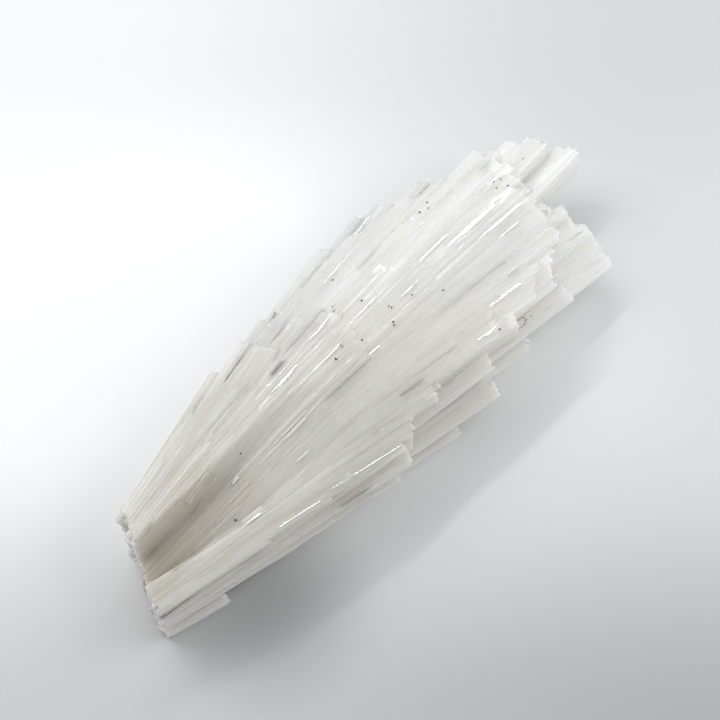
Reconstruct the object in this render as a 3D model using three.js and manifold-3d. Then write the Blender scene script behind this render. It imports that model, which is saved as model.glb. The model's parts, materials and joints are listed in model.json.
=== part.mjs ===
// A raw scolecite spray: a fan of slender, square-sided crystals that spread from one broken root and lie
// on their side. The crystals grew together, so the whole spray is one solid.
// Millimetres, +Z up. +X runs from the root to the tips, and +Y to the fan's left flank.
import * as THREE from "three";
import { ConvexGeometry } from "three/addons/geometries/ConvexGeometry.js";
import { mergeVertices } from "three/addons/utils/BufferGeometryUtils.js";
import Module from "manifold-3d";

const wasm = await Module();
wasm.setup();

// Where the crystals' lines would meet, behind the root: each crystal narrows towards this point.
const APEX_X = -85;
const APEX_Y = 0.7;
// The broken root: its x at the middle of the fan, how far it slants for each millimetre across, and how far
// the crystals' broken ends stand apart.
const ROOT_X = -49;
const ROOT_SLANT = 0.485;
const ROOT_STAGGER = 1.4;
// A crystal is this share as deep at its root as at its tip.
const ROOT_DEPTH = 0.7;
// The arch of the spray's upper side: its height along the ridge, at places from the root to the tips, and
// how it falls away on both sides of the ridge.
const RIDGE = [[-50, 13], [-28, 17], [0, 19.4], [22, 20], [45, 19.2], [62, 15]];
const RIDGE_Y = 2;
const ARCH_FALL = 0.021;
// A blade's upper faces lean outwards with their distance from the ridge, in degrees for each millimetre.
const LEAN = 1.7;
const MOST_LEAN = 30;
// How the crystals of one blade differ: the most that one is shorter or lower than the blade's longest, in
// millimetres, and the most that it turns about its axis, in radians.
const SHORTER = 2.6;
const LOWER = 0.4;
const TURN = 0.08;
// How far the outer crystals of a blade spread from its bearing and lift, in degrees.
const SPREAD = 1.6;
const LIFT_SPREAD = 0.4;
// Neighbouring crystals grow into each other by this share of their width.
const INGROWN = 0.12;
// Two in five crystals end in a low ridge, this share of their width long. The others end in a slanted face.
const RIDGE_SHARE = 0.4;
const RIDGE_LENGTH = 0.35;
// An end's slant across is at most this share of the crystal's width, and its slant down of its depth.
const SLANT = 0.4;
const UNDERCUT = 0.35;
// The spray's lowest crystals rest on this level, where their lower faces are flat.
const FLOOR = 0;
// Half the size of the block that stands for everything above the floor.
const ROOM = 400;

// Blades: each is a bundle of parallel crystals. The columns are the x and y of the middle of the tip's top
// edge, how far it stands above the arch, its width and depth there, the bearing and lift of the axis in
// degrees, the number of crystals side by side, how far its end slants towards its right, and, where the
// blade doesn't reach back to the root, its length.
const ROOT_LOBE = [
  [-37.5, 11.4, -3.4, 1.8, 4, 15, 2, 1, 0],
  [-29.5, 13.4, -3.2, 2.2, 5, 14.5, 2, 1, 0],
  [-24.0, 14.8, -2.2, 2.6, 5, 14, 2, 1, 0],
  [-15.4, 15.4, -0.6, 4.4, 6, 13, 3, 2, 0],
  [-8.4, 12.8, 0.6, 9.0, 6, 12, 4.5, 4, -1],
  [-13.3, 8.4, 0.2, 3.4, 5, 10.5, 5, 2, 0],
  [-21.5, 7.2, 0.5, 3.0, 5, 10, 5, 1, 0],
  [-31.1, 5.0, 0.6, 2.8, 5, 9, 5, 1, 0],
  [-37.0, 5.0, 0.4, 4.2, 5, 9, 4, 2, 0],
];
const LEFT_FLANK = [
  [-3.6, 17.8, -1.6, 2.4, 5, 11, 1, 1, 1],
  [14.0, 20.8, -0.4, 2.6, 6, 10, 1.5, 2, 0.6],
  [23.5, 20.2, -0.2, 2.8, 6, 10, 2, 2, 0.6],
  [27.2, 18.8, 0, 3.0, 6, 9.5, 3, 2, 0],
  [34.4, 17.2, 0.3, 2.8, 6, 8, 4, 2, 0],
];
const CROWN = [
  [46.2, 12.8, 0.8, 4.8, 6, 5, 5, 2, 1],
  [45.6, 7.2, 0.4, 6.4, 7, 4, 5.5, 3, -1.5],
  [44.2, 3.2, -1.6, 2.4, 6, 2.5, 5, 1, 0],
  [38.6, -1.2, -1.9, 2.8, 6, 1, 5.5, 2, 0],
  [2.5, 9.0, 0.8, 3.8, 4, 7.5, 7, 2, 0],
  [-1.5, 12.0, 0.4, 2.6, 4, 8, 6.5, 1, 0],
  [20.1, 4.4, 0.4, 3.0, 5, 3, 7, 2, 0],
  [16.1, 8.0, 0.2, 4.0, 5, 5, 7, 2, 0],
  [27.0, 10.6, 0, 4.4, 5, 6, 6, 2, 0],
  [12.0, 12.6, 0, 3.4, 5, 8, 5, 2, 0],
  [1.4, 1.6, 0.6, 6.2, 5, 3, 10.5, 3, -2],
  [-9.8, -2.6, -0.4, 3.4, 5, -1, 12, 2, 0],
  [16.1, -2.4, 0.2, 4.6, 6, 0.5, 9.5, 2, 0],
  [28.0, 0.6, -0.2, 4.4, 6, 1, 8, 2, 0],
];
const RIGHT_FLANK = [
  [5.1, -9.6, -0.2, 4.6, 6, -6.5, 7, 2, 0],
  [12.0, -6.0, -0.4, 5.0, 6, -3.5, 9, 2, 0],
  [24.0, -5.2, -0.6, 4.8, 6, -2.5, 8, 2, 0],
  [22.4, -10.2, -0.2, 4.2, 6, -5, 5, 2, 0],
  [16.4, -12.6, -1.4, 3.0, 6, -6, 3.5, 1, 0],
  [34.4, -9.4, 0, 5.8, 7, -4.5, 5, 3, -1],
  [36.2, -13.0, -1.6, 3.2, 7, -6, 3, 1, 0],
];
const TIPS = [
  [55.0, 10.6, -1.6, 7.0, 6, 5, 2, 3, 4.5],
  [59.6, 5.2, -3.2, 4.0, 6, 4, 1.5, 2, 0],
  [46.2, -2.0, -3.0, 4.8, 7, -0.5, 3.5, 2, 1],
  [47.6, -6.0, -4.4, 4.6, 7, -1.5, 2.5, 2, 0],
  [48.2, -9.3, -6.2, 2.4, 5, -2.5, 1, 1, 0],
  [49.4, -12.0, -6.6, 3.0, 5, -4.5, 0.5, 1, 0],
];
const RIGHT_LOBE = [
  [-4.4, -12.6, -0.4, 3.6, 5, -8, 4, 2, -1],
  [-5.0, -14.4, -1.2, 3.0, 5, -9.5, 3, 1, -1],
  [-7.6, -14.6, -4.4, 2.2, 5, -10.5, 1.5, 1, 0],
  [-14.0, -10.2, -0.2, 3.6, 5, -8, 5, 2, 0],
  [-26.8, -10.8, -6.0, 2.4, 5, -11, 1, 1, 0],
  [-40.7, -8.6, -8.2, 2.4, 4, -12, 0.5, 1, 0],
  [-27.0, -7.6, -1.0, 4.2, 5, -9, 5, 2, 0],
];
const UNDERSIDE = [
  [15.8, -14.9, -5.2, 4.2, 5, -8, 1, 2, -1.5],
  [7.0, -14.9, -9.8, 2.0, 4, -9.5, 0, 1, 0],
  [28.0, -11.0, -11, 5.0, 6, -6, 0, 2, 0],
  [36.0, -5.0, -13, 5.0, 6.2, -2.5, 0, 2, 0],
  [44.0, 1.0, -13.2, 5.0, 6.6, 0.5, 0, 2, 0],
  [40.0, 6.6, -12.4, 5.0, 7, 3.5, 0.5, 2, 0],
  [31.0, 12.0, -10.4, 4.8, 8, 6, 0.5, 2, 0],
  [20.0, 15.4, -9.0, 4.2, 7.6, 8.5, 0.5, 2, 0],
  [8.0, 17.0, -8.0, 3.6, 6, 10, 0.5, 1, 0],
  [-12.0, 14.6, -8.2, 3.8, 6, 12, 0.5, 1, 0],
  [-27.0, 11.6, -8.6, 3.2, 6, 13, 0.5, 1, 0],
];

// The grown-together heart of the fan: the corners of its three sections, from the root to the tips.
const HEART = [
  { left: 8.6, leftX: -43.3, right: -6.4, rightX: -50.6, low: 0.8, high: 6.4 },
  { left: 13.2, leftX: -10, right: -12.6, rightX: -10, low: 0.4, high: 12.5 },
  { left: 13.4, leftX: 31, right: -11.4, rightX: 31, low: 2, high: 12.5 },
];

// Repeatable random numbers from 0 to 1, one stream for each seed.
function stream(seed) {
  let state = seed >>> 0;
  return () => {
    state = (state + 0x6d2b79f5) >>> 0;
    let mixed = Math.imul(state ^ (state >>> 15), 1 | state);
    mixed = (mixed + Math.imul(mixed ^ (mixed >>> 7), 61 | mixed)) ^ mixed;
    return ((mixed ^ (mixed >>> 14)) >>> 0) / 2 ** 32;
  };
}

// The convex solid around a few points.
function solidOf(points) {
  const geometry = new ConvexGeometry(points);
  geometry.deleteAttribute("normal");
  geometry.deleteAttribute("uv");
  const merged = mergeVertices(geometry, 1e-4);
  return new wasm.Manifold(
    new wasm.Mesh({
      numProp: 3,
      vertProperties: merged.attributes.position.array,
      triVerts: new Uint32Array(merged.index.array),
    }),
  );
}

// A crystal's own directions: along its axis, to its left, and out of its top.
function directions(bearing, lift) {
  const turn = THREE.MathUtils.degToRad(bearing);
  const rise = THREE.MathUtils.degToRad(lift);
  const ahead = Math.cos(rise);
  const along = new THREE.Vector3(Math.cos(turn) * ahead, Math.sin(turn) * ahead, Math.sin(rise));
  const left = new THREE.Vector3(-Math.sin(turn), Math.cos(turn), 0);
  const up = new THREE.Vector3().crossVectors(along, left);
  return { along, left, up };
}

// One crystal: a square-sided prism that narrows towards the root, with a slanted end or a low ridge.
function crystal({ tip, axes, length, width, depth, turn, slant, undercut, ridge }) {
  const { along, left, up } = axes;
  const narrow = (tip.x - length - APEX_X) / (tip.x - APEX_X);
  const corner = (back, across, above) => {
    const aside = across * Math.cos(turn) - above * Math.sin(turn);
    const rise = above * Math.cos(turn) + across * Math.sin(turn);
    const point = tip.clone();
    point.addScaledVector(along, -back);
    point.addScaledVector(left, aside);
    return point.addScaledVector(up, rise - depth / 2);
  };
  const points = [];
  for (const side of [-1, 1]) {
    for (const face of [-1, 1]) {
      const across = (side * width) / 2;
      const above = (face * depth) / 2;
      const back = ridge + (slant * (side + 1)) / 2 + (undercut * (1 - face)) / 2;
      points.push(corner(length, across * narrow, above * ROOT_DEPTH));
      points.push(corner(back, across, above));
    }
  }
  if (ridge > 0) {
    points.push(corner(0, -width / 4, 0));
    points.push(corner(0, width / 4, 0));
  }
  return solidOf(points);
}

// The height of the spray's upper side at a place.
function arch(x, y) {
  const past = RIDGE.findIndex(([place]) => place > x);
  const end = past < 0 ? RIDGE.length - 1 : Math.max(past, 1);
  const [[fromX, fromZ], [toX, toZ]] = [RIDGE[end - 1], RIDGE[end]];
  const ridge = fromZ + ((toZ - fromZ) * (x - fromX)) / (toX - fromX);
  return ridge - ARCH_FALL * (y - RIDGE_Y) ** 2;
}

// The length that takes a crystal back to the broken root.
function lengthToRoot(x, y, along) {
  return (x - ROOT_X - ROOT_SLANT * y) / (along.x - ROOT_SLANT * along.y);
}

// Where a blade's width is parted into its crystals, as shares of the width.
function partings(count, random) {
  const shares = [0];
  for (let i = 1; i < count; i += 1) {
    shares.push((i + (random() - 0.5) / 2) / count);
  }
  shares.push(1);
  return shares;
}

// A blade's crystals, side by side, each a little shorter, lower and turned by its own amount.
function blade([x, y, step, width, depth, bearing, lift, count, skew], index) {
  const random = stream(97 + 13 * index);
  const { along, left, up } = directions(bearing, lift);
  const leanDegrees = THREE.MathUtils.clamp(LEAN * (y - RIDGE_Y), -MOST_LEAN, MOST_LEAN);
  const lean = THREE.MathUtils.degToRad(leanDegrees);
  const reach = lengthToRoot(x, y, along);
  const longest = Math.floor(count / 2);
  const shares = partings(count, random);
  return shares.slice(1).map((share, i) => {
    const middle = (share + shares[i]) / 2 - 0.5;
    const own = (share - shares[i]) * width;
    const shorter = i === longest ? 0 : SHORTER * random();
    const tip = new THREE.Vector3(x, y, arch(x, y) + step);
    tip.addScaledVector(left, -middle * width * Math.cos(lean));
    tip.addScaledVector(along, middle * skew - shorter);
    tip.addScaledVector(up, middle * width * Math.sin(lean) - LOWER * random());
    return crystal({
      tip,
      axes: directions(bearing - SPREAD * middle, lift + LIFT_SPREAD * (2 * random() - 1)),
      length: reach - shorter + ROOT_STAGGER * (random() - 0.5),
      width: own * (1 + INGROWN),
      depth: depth * (0.9 + 0.2 * random()),
      turn: TURN * (2 * random() - 1) - lean,
      slant: SLANT * own * (2 * random() - 1),
      undercut: UNDERCUT * depth * (random() - 0.35),
      ridge: random() < RIDGE_SHARE ? RIDGE_LENGTH * own : 0,
    });
  });
}

function heart() {
  const points = HEART.flatMap(({ left, leftX, right, rightX, low, high }) => [
    new THREE.Vector3(leftX, left, low),
    new THREE.Vector3(leftX, left, high),
    new THREE.Vector3(rightX, right, low),
    new THREE.Vector3(rightX, right, high),
  ]);
  return solidOf(points);
}

// All the space above the floor, as one large block.
function aboveFloor() {
  const points = [];
  for (const x of [-ROOM, ROOM]) {
    for (const y of [-ROOM, ROOM]) {
      points.push(new THREE.Vector3(x, y, FLOOR));
      points.push(new THREE.Vector3(x, y, ROOM));
    }
  }
  return solidOf(points);
}

function geometryOf(solid) {
  const { numProp, vertProperties, triVerts, numVert } = solid.getMesh();
  const positions = new Float32Array(numVert * 3);
  for (let i = 0; i < numVert; i += 1) {
    positions.set(vertProperties.subarray(i * numProp, i * numProp + 3), i * 3);
  }
  const geometry = new THREE.BufferGeometry();
  geometry.setAttribute("position", new THREE.BufferAttribute(positions, 3));
  geometry.setIndex(new THREE.BufferAttribute(triVerts, 1));
  geometry.computeVertexNormals();
  return geometry;
}

// The whole spray in one solid, with the middle of its footprint at the origin.
function spray() {
  const blades = [ROOT_LOBE, LEFT_FLANK, CROWN, RIGHT_FLANK, TIPS, RIGHT_LOBE, UNDERSIDE].flat();
  const joined = wasm.Manifold.union([heart(), ...blades.flatMap(blade)]).intersect(aboveFloor());
  // Gaps sealed in between the crystals are skins of their own, and leaving them out fills them.
  const [whole] = joined.decompose().sort((a, b) => b.volume() - a.volume());
  const geometry = geometryOf(whole);
  geometry.computeBoundingBox();
  const { min, max } = geometry.boundingBox;
  return geometry.translate(-(min.x + max.x) / 2, -(min.y + max.y) / 2, -min.z);
}

const milkyCrystal = new THREE.MeshStandardMaterial({ color: 0xe6e5df, roughness: 0.3, metalness: 0 });
const specimen = new THREE.Mesh(spray(), milkyCrystal);
specimen.name = "scolecite_spray";

const group = new THREE.Group();
group.add(specimen);

export default group;
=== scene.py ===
"""Raw scolecite: a fan of slender, milky crystals that spread from one broken root and lie on their side.

The spray is grown from blades. Each blade is a few square-sided crystals, and each crystal carries needles
along its faces, thin flakes that lift towards the tips, and a broken end of many small needle ends. All of
them are joined in one solid. Smooth clear slivers and a few dark grains lie on its upper side.
"""

import json
import math
import random
from functools import partial

import bmesh
import bpy
import numpy as np
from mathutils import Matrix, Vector
from mathutils.bvhtree import BVHTree

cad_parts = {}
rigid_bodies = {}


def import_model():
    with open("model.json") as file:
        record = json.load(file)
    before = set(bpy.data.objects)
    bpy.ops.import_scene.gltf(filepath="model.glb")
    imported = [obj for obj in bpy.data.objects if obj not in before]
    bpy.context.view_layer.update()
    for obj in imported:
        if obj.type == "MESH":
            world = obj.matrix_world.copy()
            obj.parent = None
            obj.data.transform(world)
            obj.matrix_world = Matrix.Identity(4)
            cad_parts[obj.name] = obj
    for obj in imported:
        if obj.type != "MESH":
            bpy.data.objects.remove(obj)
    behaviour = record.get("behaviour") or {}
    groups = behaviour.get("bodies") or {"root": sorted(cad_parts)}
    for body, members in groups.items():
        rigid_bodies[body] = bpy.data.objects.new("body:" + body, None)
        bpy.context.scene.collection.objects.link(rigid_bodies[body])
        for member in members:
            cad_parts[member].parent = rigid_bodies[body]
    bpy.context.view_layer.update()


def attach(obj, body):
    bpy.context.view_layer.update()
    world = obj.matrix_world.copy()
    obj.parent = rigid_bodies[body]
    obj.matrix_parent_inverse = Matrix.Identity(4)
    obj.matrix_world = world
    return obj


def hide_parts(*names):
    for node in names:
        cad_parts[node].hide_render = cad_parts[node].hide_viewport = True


bl_info = {
    "name": "Raw Scolecite",
    "version": (1, 0, 0),
    "blender": (4, 5, 0),
    "location": "View3D > Sidebar > Scolecite",
    "description": "Grows a spray of milky scolecite crystals and its stage",
    "category": "Add Mesh",
}

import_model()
SPRAY_NODE = "scolecite_spray"

# The tables are in millimetres, in the fan's own frame. The part's frame has its origin in the middle of the
# footprint, at this place of the fan's frame.
MM = 0.001
MIDDLE = Vector((3.572, 2.577, 0.0))

# Where the crystals' lines would meet, behind the root.
APEX_X = -85.0
APEX_Y = 0.7
APEX_Z = 6.0
# The broken root: its x at the middle of the fan, and how far it slants for each millimetre across.
ROOT_X = -49.0
ROOT_SLANT = 0.485
ROOT_STAGGER = 1.4
ROOT_DEPTH = 0.7
# The arch of the upper side: its height along the ridge, and how it falls away beside the ridge.
RIDGE = ((-50, 13), (-28, 17), (0, 19.4), (22, 20), (45, 19.2), (62, 15))
RIDGE_Y = 2.0
ARCH_FALL = 0.021
LEAN = 1.7
MOST_LEAN = 30.0
# How the crystals of one blade differ.
SHORTER = 1.2
LOWER = 0.16
TURN = 0.04
SPREAD = 1.6
LIFT_SPREAD = 0.2
INGROWN = 0.12
RIDGE_SHARE = 0.4
RIDGE_LENGTH = 0.35
SLANT = 0.4
UNDERCUT = 0.35
# How much of its slant, undercut and ridge a crystal's end shows.
END_SHARE = 0.6
# The share of needles left out, how deep a needle's start sinks in, the shortest needle or flake, and how many
# flakes lie on a square millimetre of each face.
NEEDLE_GAPS = 0.12
NEEDLE_SINK = 0.06
SHORTEST = 3
FLAKE_DENSITY = (("top", 0.03), ("left", 0.012), ("right", 0.012))
# Width and depth of the small needle ends at a crystal's tip, and of the stubs at its root.
TIP_NEEDLE = (0.85, 1.1)
ROOT_STUB = (0.9, 1.2)
# Solids are joined this many at a time.
JOINED_AT_ONCE = 4
# Keeps whole numbers to 32 bits.
MASK = 0xFFFFFFFF

# Blades. The columns are the x and y of the middle of the tip's top edge, how far it stands above the arch,
# its width and depth there, the bearing and lift of the axis in degrees, the number of crystals side by
# side, and how far its end slants towards its right.
ROOT_LOBE = (
    (-37.5, 11.4, -3.4, 1.8, 4, 15, 2, 1, 0),
    (-29.5, 13.4, -3.2, 2.2, 5, 14.5, 2, 1, 0),
    (-24.0, 14.8, -2.2, 2.6, 5, 14, 2, 1, 0),
    (-15.4, 15.4, -0.6, 4.4, 6, 13, 3, 2, 0),
    (-8.4, 12.8, 1.1, 9.0, 6, 12, 4.5, 4, -1),
    (-13.3, 8.4, 0.2, 3.4, 4, 10.5, 6, 2, 0),
    (-21.5, 7.2, 0.1, 3.0, 3, 10, 7, 1, 0),
    (-31.1, 5.0, -0.3, 2.8, 3, 9, 8, 1, 0),
)
LEFT_FLANK = (
    (-3.6, 17.8, -1.6, 2.4, 5, 11, 1, 1, 1),
    (14.0, 20.8, -0.4, 2.6, 6, 10, 1.5, 2, 0.6),
    (23.5, 20.2, -0.2, 2.8, 6, 10, 2, 2, 0.6),
    (27.2, 18.8, 0, 3.0, 6, 9.5, 3, 2, 0),
    (34.4, 17.2, 0.3, 2.8, 6, 8, 4, 2, 0),
)
CROWN = (
    (46.2, 12.8, 0.8, 4.8, 6, 5, 3, 2, 1),
    (45.6, 7.2, 0.4, 6.4, 7, 4, 3.5, 3, -1.5),
    (44.2, 3.2, -1.6, 2.4, 6, 2.5, 3.5, 1, 0),
    (38.6, -1.2, -1.9, 2.8, 6, 1, 4, 2, 0),
    (2.5, 9.0, 0.8, 3.8, 4, 7.5, 5.5, 2, 0),
    (-1.5, 12.0, 0.4, 2.6, 4, 8, 5, 1, 0),
    (20.1, 4.4, 0.4, 3.0, 5, 3, 5, 2, 0),
    (16.1, 8.0, 0.2, 4.0, 5, 5, 5, 2, 0),
    (27.0, 10.6, 0, 4.4, 5, 6, 4.5, 2, 0),
    (12.0, 12.6, 0, 3.4, 5, 8, 4, 2, 0),
    (1.4, 1.6, 0.6, 6.2, 5, 3, 7, 3, -2),
    (-9.8, -2.6, -0.4, 3.4, 5, -1, 9, 2, 0),
    (16.1, -2.4, -0.3, 4.6, 6, 0.5, 6, 2, 0),
    (28.0, 0.6, -0.2, 4.4, 6, 1, 4.5, 2, 0),
)
RIGHT_FLANK = (
    (5.1, -9.6, -0.2, 4.6, 6, -6.5, 7, 2, 0),
    (12.0, -6.0, -0.4, 5.0, 6, -3.5, 9, 2, 0),
    (24.0, -5.2, -0.6, 4.8, 6, -2.5, 8, 2, 0),
    (22.4, -10.2, -0.2, 4.2, 6, -5, 5, 2, 0),
    (16.4, -12.6, -1.4, 3.0, 6, -6, 3.5, 1, 0),
    (34.4, -9.4, 0, 5.8, 7, -4.5, 5, 3, -1),
    (36.2, -13.0, -1.6, 3.2, 7, -6, 3, 1, 0),
)
TIPS = (
    (55.0, 10.6, -1.6, 7.0, 6, 5, 2, 3, 4.5),
    (59.6, 5.2, -3.2, 4.0, 6, 4, 1.5, 2, 0),
    (46.2, -2.0, -3.0, 4.8, 7, -0.5, 3.5, 2, 1),
    (47.6, -6.0, -3.8, 5.2, 7, -1.5, 2.5, 2, 0),
    (48.2, -9.3, -5.2, 3.4, 6, -2.5, 1, 1, 0),
    (49.4, -12.0, -5.9, 3.4, 6, -4.5, 0.5, 1, 0),
)
RIGHT_LOBE = (
    (-4.2, -13.0, -0.4, 2.9, 5, -8, 4, 2, -1),
    (-5.0, -14.4, -1.2, 3.0, 5, -9.5, 3, 1, -1),
    (-7.6, -14.6, -4.4, 2.2, 5, -10.5, 1.5, 1, 0),
    (-14.0, -10.2, -0.2, 3.6, 5, -8, 5, 2, 0),
    (-26.8, -10.8, -6.0, 2.4, 5, -11, 1, 1, 0),
    (-40.7, -8.6, -8.2, 2.4, 4, -12, 0.5, 1, 0),
    (-27.0, -7.6, -1.0, 4.2, 5, -9, 5, 2, 0),
)
UNDERSIDE = (
    (15.8, -14.9, -5.2, 4.2, 5, -8, 1, 2, -1.5),
    (7.0, -14.9, -9.8, 2.0, 4, -9.5, 0, 1, 0),
    (28.0, -11.0, -11, 5.0, 6, -6, 0, 2, 0),
    (36.0, -5.0, -13, 5.0, 6.2, -2.5, 0, 2, 0),
    (44.0, 1.0, -13.2, 5.0, 6.6, 0.5, 0, 2, 0),
    (40.0, 6.6, -12.4, 5.0, 7, 3.5, 0.5, 2, 0),
    (31.0, 12.0, -10.4, 4.8, 8, 6, 0.5, 2, 0),
    (20.0, 15.4, -9.0, 4.2, 7.6, 8.5, 0.5, 2, 0),
    (8.0, 17.0, -8.0, 3.6, 6, 10, 0.5, 1, 0),
    (-12.0, 14.6, -8.2, 3.8, 6, 12, 0.5, 1, 0),
    (-27.0, 11.6, -8.6, 3.2, 6, 13, 0.5, 1, 0),
)
UPPER_BLADES = ROOT_LOBE + LEFT_FLANK + CROWN + RIGHT_FLANK + TIPS + RIGHT_LOBE
BLADES = UPPER_BLADES + UNDERSIDE
# The grown-together heart of the fan: its sections from the root to the tips, each with the y and x of its
# left and right side, and its lowest and highest z.
HEART = (
    (8.6, -43.3, -6.4, -50.6, 0.8, 6.4),
    (13.2, -10, -12.6, -10, 0.4, 12.5),
    (13.4, 31, -11.4, 31, 2, 12.5),
)

# The furrow between the two root lobes: its x, the y of its middle, its half width, and its depth there.
FURROW = (
    (-50, 1.4, 3.4, 5.2),
    (-41, -0.2, 4.4, 4.6),
    (-30, -1.6, 5.6, 3.6),
    (-22, -2.2, 6.6, 1.8),
    (-10, -2.8, 7.6, 0.0),
)
# Where the smooth upper side reaches from and to: x, and y at the right and at the left.
UPPER_SIDE = (
    (-46, -7.6, 9.2),
    (-37, -9.4, 11.2),
    (-26, -11.6, 13.8),
    (-8, -14.4, 16.0),
    (-3, -14.0, 16.8),
    (0, -11.5, 17.2),
    (16, -12.6, 19.6),
    (28, -12.2, 18.0),
    (35, -11.2, 16.0),
    (43, -5.0, 13.4),
)
# Ribs run under the blades from the root towards the tips, side by side between these bearings.
RIB_BEARINGS = (-12.0, 12.0)
RIB_DROP = 0.15
RIB_DEPTH = 7.0
RIB_STATION = 5.0
# The distance from the apex at which the width of a rib or skin needle is given.
GAUGE_REACH = 100
SKIN_NEEDLE_DROP = 0.15
SKIN_NEEDLE_DEPTH = 1.2
SHORTEST_SKIN_NEEDLE = 8

# Slivers that catch the light: x and y of the free end, length, width, and roll in degrees.
SLIVERS = (
    (36.9, 3.9, 12.5, 0.75, 8.4),
    (43.4, 4.1, 7.0, 0.22, 8.4),
    (39.3, 0.8, 10.2, 0.5, 9),
    (37.0, -1.4, 5.0, 0.5, 9.4),
    (30.6, -6.7, 4.4, 0.6, 9.4),
    (28.6, -9.0, 7.2, 0.5, 9.8),
    (20.2, -11.5, 4.6, 0.6, 10.6),
    (-10.6, -1.2, 14.2, 0.5, 10.1),
    (-13.0, -0.4, 8.0, 0.3, 10.1),
    (-5.6, -14.2, 14.0, 0.2, 11.2),
    (-21.8, -11.8, 8.0, 0.15, 10.9),
    (1.3, 8.6, 5.4, 0.4, 9.0),
    (-8.7, 6.3, 6.6, 0.4, 9.5),
    (-31.5, 3.8, 5.4, 0.3, 9.4),
    (16.1, 2.6, 4.8, 0.4, 9.2),
    (-30.0, -6.8, 2.8, 0.3, 10.2),
    (-27.8, 0.6, 1.7, 0.6, 9),
    (-30.3, 2.9, 1.3, 0.5, 9),
    (-17.4, -5.0, 2.6, 0.3, 10.2),
    (2.7, -1.2, 2.4, 0.3, 9.9),
    (8.8, 5.6, 5.0, 0.25, 9.1),
    (26.0, 5.4, 7.0, 0.3, 8.4),
    (-1.6, 3.6, 3.4, 0.25, 9.7),
)
# A sliver's own width, how far it stands out at its start and how much more at its end, its size at shares of
# its length, and its section.
SLIVER_WIDTH = 0.26
SLIVER_RISE = 0.09
SLIVER_LIFT = 0.08
SLIVER_STATIONS = ((0.0, 0.3), (0.15, 1.0), (0.9, 1.0), (1.0, 0.6))
SLIVER_SECTION = ((0.5, -0.6), (0.5, -0.03), (0.42, 0.0), (-0.42, 0.0), (-0.5, -0.03), (-0.5, -0.6))
# Open crevices between crystals on the upper side: x and y of the free end, length, and width.
CREVICES = (
    (3.3, 11.0, 11.4, 0.14),
    (-8.6, 8.9, 4.2, 0.08),
    (0.3, -1.7, 10.6, 0.28),
    (4.4, -9.6, 5.0, 0.18),
    (-13.6, -15.0, 5.8, 0.16),
)
CREVICE_STATIONS = ((0.0, 0.25), (0.2, 1.0), (0.75, 0.8), (1.0, 0.2))
CREVICE_SECTION = ((-0.25, -0.7), (0.25, -0.7), (0.5, 0.9), (-0.5, 0.9))
# Dark grains on the upper side: x and y.
GRAINS = (
    (2.8, 9.6), (2.6, 9.0), (3.3, 10.1), (7.5, 0.2), (7.2, -0.3), (9.3, 2.3), (9.2, 2.8), (13.4, 1.5),
    (17.6, -1.6), (7.8, 14.4), (7.1, 6.9), (29.8, 13.4), (28.9, 12.2), (27.3, 12.7), (21.6, 13.5), (41.4, 6.9),
    (41.0, 4.9), (40.2, 7.4), (39.4, 6.0), (50.2, 9.0), (27.6, -13.0), (23.9, -12.8), (20.4, -12.0), (-3.7, 2.3),
    (1.7, 1.6), (-25.2, 2.6), (-32.8, -3.8),
)
GRAIN_SIZES = (0.14, 0.26)
GRAIN_CORNERS = 14

# Colours of the crystals beside the settings: tan patches at the root, the thin lines between fibres, the
# smooth slivers and the dark grains. The darker colour towards the root and the right flank is the milky one,
# dimmed by its shares: a warm stain towards the root, and painted shade on the right flank, which faces away from
# the light.
TAN = (0.66, 0.57, 0.48)
LINE_COLOUR = (0.45, 0.44, 0.42)
SLIVER_COLOUR = (0.95, 0.955, 0.945, 1.0)
GRAIN_COLOUR = (0.045, 0.04, 0.035, 1.0)
ROOT_STAIN_AND_SHADE_SHARES = (0.79, 0.775, 0.745)
# Where a Mix node has its two colours among its inputs, and its result among its outputs.
MIX_FIRST, MIX_SECOND, MIX_RESULT = 6, 7, 2

# The camera stands where the specimen is seen from, above and beside its root. Millimetres, part's frame.
CAMERA_PLACE = (-99.8, -95.5, 260.6)
CAMERA_AIM = (-0.8, 0.6, 9.0)
CAMERA_LENS = 85.0
CAMERA_SENSOR = 36.0
CAMERA_CLIP = 0.01
# The area lights: place, size and aim in metres. The large softbox takes its power from its setting.
SOFTBOX = ((-0.163, 0.385, 0.41), (0.34, 0.34), (0.0, 0.0, 0.0))
WINDOW = ((0.175, 0.30, 0.38), (0.40, 0.016), (0.175, 0.0, 0.0))
SIDE_SOFTBOX = ((0.328, -0.267, 0.25), (0.35, 0.35), (0.0, 0.0, 0.0))
WINDOW_POWER = 0.50
SIDE_POWER = 1.0
ROOM_COLOUR = (0.95, 0.965, 0.985, 1.0)
# The floor reaches this far, and lies just below the specimen's lowest crystals, which end at zero.
FLOOR_REACH = 1.6
FLOOR_LEVEL = -0.02 * MM
# How the floor dims to the right, the near side and the far side of the view, as painted shade where the
# lamps' light falls off: the heading across it, where the dimming starts and ends along it in millimetres, and by
# what share.
FLOOR_PAINTED_SHADE = (
    ((0.695, -0.719, 0.0), -60, 60, 0.27),
    ((-0.719, -0.695, 0.0), 10, 60, 0.36),
    ((0.719, 0.695, 0.0), 25, 75, 0.10),
)
# Soft spots painted on the floor: a painted shadow beside the right root lobe, and painted pools of light in the
# shadow beside the tips and beside the left flank. The middle in metres, the reach in millimetres, and how bright
# the middle is.
FLOOR_PAINTED_SPOTS = (
    ((-0.040, -0.0165, 0.0), 22, 0.64),
    ((0.032, -0.020, 0.0), 30, 1.16),
    ((0.000, 0.032, 0.0), 48, 1.13),
)


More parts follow.
